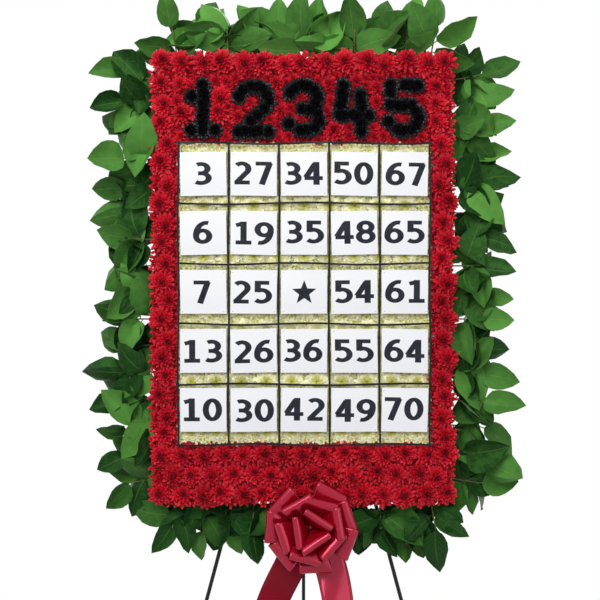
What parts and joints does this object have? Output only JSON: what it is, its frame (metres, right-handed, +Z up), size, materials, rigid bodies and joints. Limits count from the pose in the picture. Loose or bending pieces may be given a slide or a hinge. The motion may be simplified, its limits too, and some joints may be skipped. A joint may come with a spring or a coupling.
{
  "type": "floral tribute on a wire easel",
  "caption": "Flat flower-covered board in the form of a bingo card, with paper number cards, a leaf border and a satin bow, on a wire easel whose rear leg folds.",
  "frame": {"origin": "on the floor, in the middle of the part's bounding box", "axes": "+Z up, +X to the right of a viewer who faces the cards, -Y towards that viewer"},
  "size_m": [0.8938, 0.5923, 1.7796],
  "materials": {
    "easel_wire": "satin black paint on steel wire",
    "florist_wire": "bright bare wire",
    "foam": "white bead foam",
    "red_petals": "fresh petals, soft",
    "black_petals": "petals sprayed black, slight sheen",
    "white_petals": "fresh petals, cream with a green-yellow heart",
    "card_paper": "matt white card with a printed number",
    "pin_steel": "small steel pins",
    "black_ribbon": "narrow glossy ribbon",
    "leaf": "leathery leaf with a soft gloss",
    "stem": "green-brown twig",
    "red_satin": "red satin with bright folds",
    "pick_wood": "plain softwood"
  },
  "bodies": {
    "stand": {"left_front_leg": "easel_wire", "right_front_leg": "easel_wire", "hinge_rod": "easel_wire", "lower_crossbar": "easel_wire", "leg_stay": "easel_wire", "prongs": "easel_wire", "anchor_wires": "florist_wire", "foam_board": "foam", "red_mums_top": "red_petals", "red_mums_bottom": "red_petals", "red_mums_left": "red_petals", "red_mums_right": "red_petals", "black_mums_1": "black_petals", "black_mums_2": "black_petals", "black_mums_3": "black_petals", "black_mums_4": "black_petals", "black_mums_5": "black_petals", "white_mums_upper": "white_petals", "white_mums_lower": "white_petals", "card_1_1": "card_paper", "card_1_2": "card_paper", "card_1_3": "card_paper", "card_1_4": "card_paper", "card_1_5": "card_paper", "card_2_1": "card_paper", "card_2_2": "card_paper", "card_2_3": "card_paper", "card_2_4": "card_paper", "card_2_5": "card_paper", "card_3_1": "card_paper", "card_3_2": "card_paper", "card_3_3": "card_paper", "card_3_4": "card_paper", "card_3_5": "card_paper", "card_4_1": "card_paper", "card_4_2": "card_paper", "card_4_3": "card_paper", "card_4_4": "card_paper", "card_4_5": "card_paper", "card_5_1": "card_paper", "card_5_2": "card_paper", "card_5_3": "card_paper", "card_5_4": "card_paper", "card_5_5": "card_paper", "card_pins": "pin_steel", "grid_ribbons_across": "black_ribbon", "grid_ribbons_up": "black_ribbon", "leaves_top": "leaf", "leaves_right": "leaf", "leaves_bottom": "leaf", "leaves_left": "leaf", "sprig_stems": "stem", "bow_loops": "red_satin", "bow_tie": "red_satin", "left_tail": "red_satin", "right_tail": "red_satin", "bow_pick": "pick_wood"},
    "rear_leg_swing": {"rear_leg": "easel_wire", "rear_leg_sleeve": "easel_wire"}
  },
  "joints": [
    {"name": "rear_leg_fold", "type": "hinge", "parent": "stand", "child": "rear_leg_swing", "pos_m": [0, -0.03912, 1.16067], "axis": [-1, 0, 0], "range_deg": [0, 24]}
  ]
}
